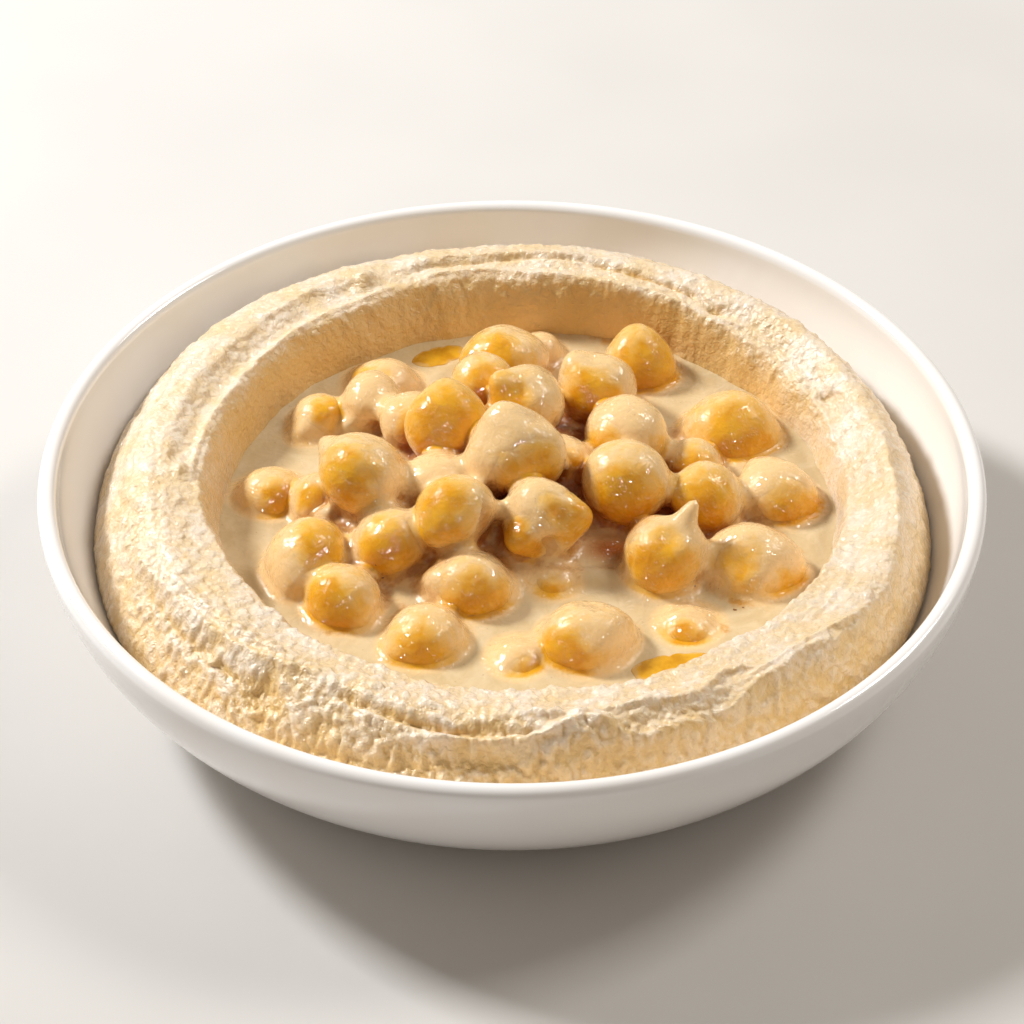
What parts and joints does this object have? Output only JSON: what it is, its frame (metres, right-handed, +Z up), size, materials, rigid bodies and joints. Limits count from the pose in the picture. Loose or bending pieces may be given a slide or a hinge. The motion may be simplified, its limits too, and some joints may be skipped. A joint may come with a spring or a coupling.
{
  "type": "plate of chickpeas with tahini",
  "caption": "Shallow round white plate with a swirled ring of hummus, its hollow filled with tahini sauce and heaped with whole cooked chickpeas.",
  "frame": {"origin": "on the table, under the middle of the plate", "axes": "+Z up, +Y away from the side that the camera faces, +X to its right"},
  "size_m": [0.15, 0.15, 0.0348],
  "materials": {
    "glaze": "glossy warm white glaze",
    "hummus": "grainy, moist, satin",
    "tahini": "smooth, wet, glossy",
    "chickpea": "wet skin, partly coated with sauce"
  },
  "bodies": {
    "root": {"plate": "glaze", "hummus": "hummus", "tahini": "tahini", "chickpea_01": "chickpea", "chickpea_02": "chickpea", "chickpea_03": "chickpea", "chickpea_04": "chickpea", "chickpea_05": "chickpea", "chickpea_06": "chickpea", "chickpea_07": "chickpea", "chickpea_08": "chickpea", "chickpea_09": "chickpea", "chickpea_10": "chickpea", "chickpea_11": "chickpea", "chickpea_12": "chickpea", "chickpea_13": "chickpea", "chickpea_14": "chickpea", "chickpea_15": "chickpea", "chickpea_16": "chickpea", "chickpea_17": "chickpea", "chickpea_18": "chickpea", "chickpea_19": "chickpea", "chickpea_20": "chickpea", "chickpea_21": "chickpea", "chickpea_22": "chickpea", "chickpea_23": "chickpea", "chickpea_24": "chickpea", "chickpea_25": "chickpea", "chickpea_26": "chickpea", "chickpea_27": "chickpea", "chickpea_28": "chickpea", "chickpea_29": "chickpea", "chickpea_30": "chickpea", "chickpea_31": "chickpea", "chickpea_32": "chickpea", "chickpea_33": "chickpea", "chickpea_34": "chickpea", "chickpea_35": "chickpea", "chickpea_36": "chickpea"}
  },
  "joints": []
}
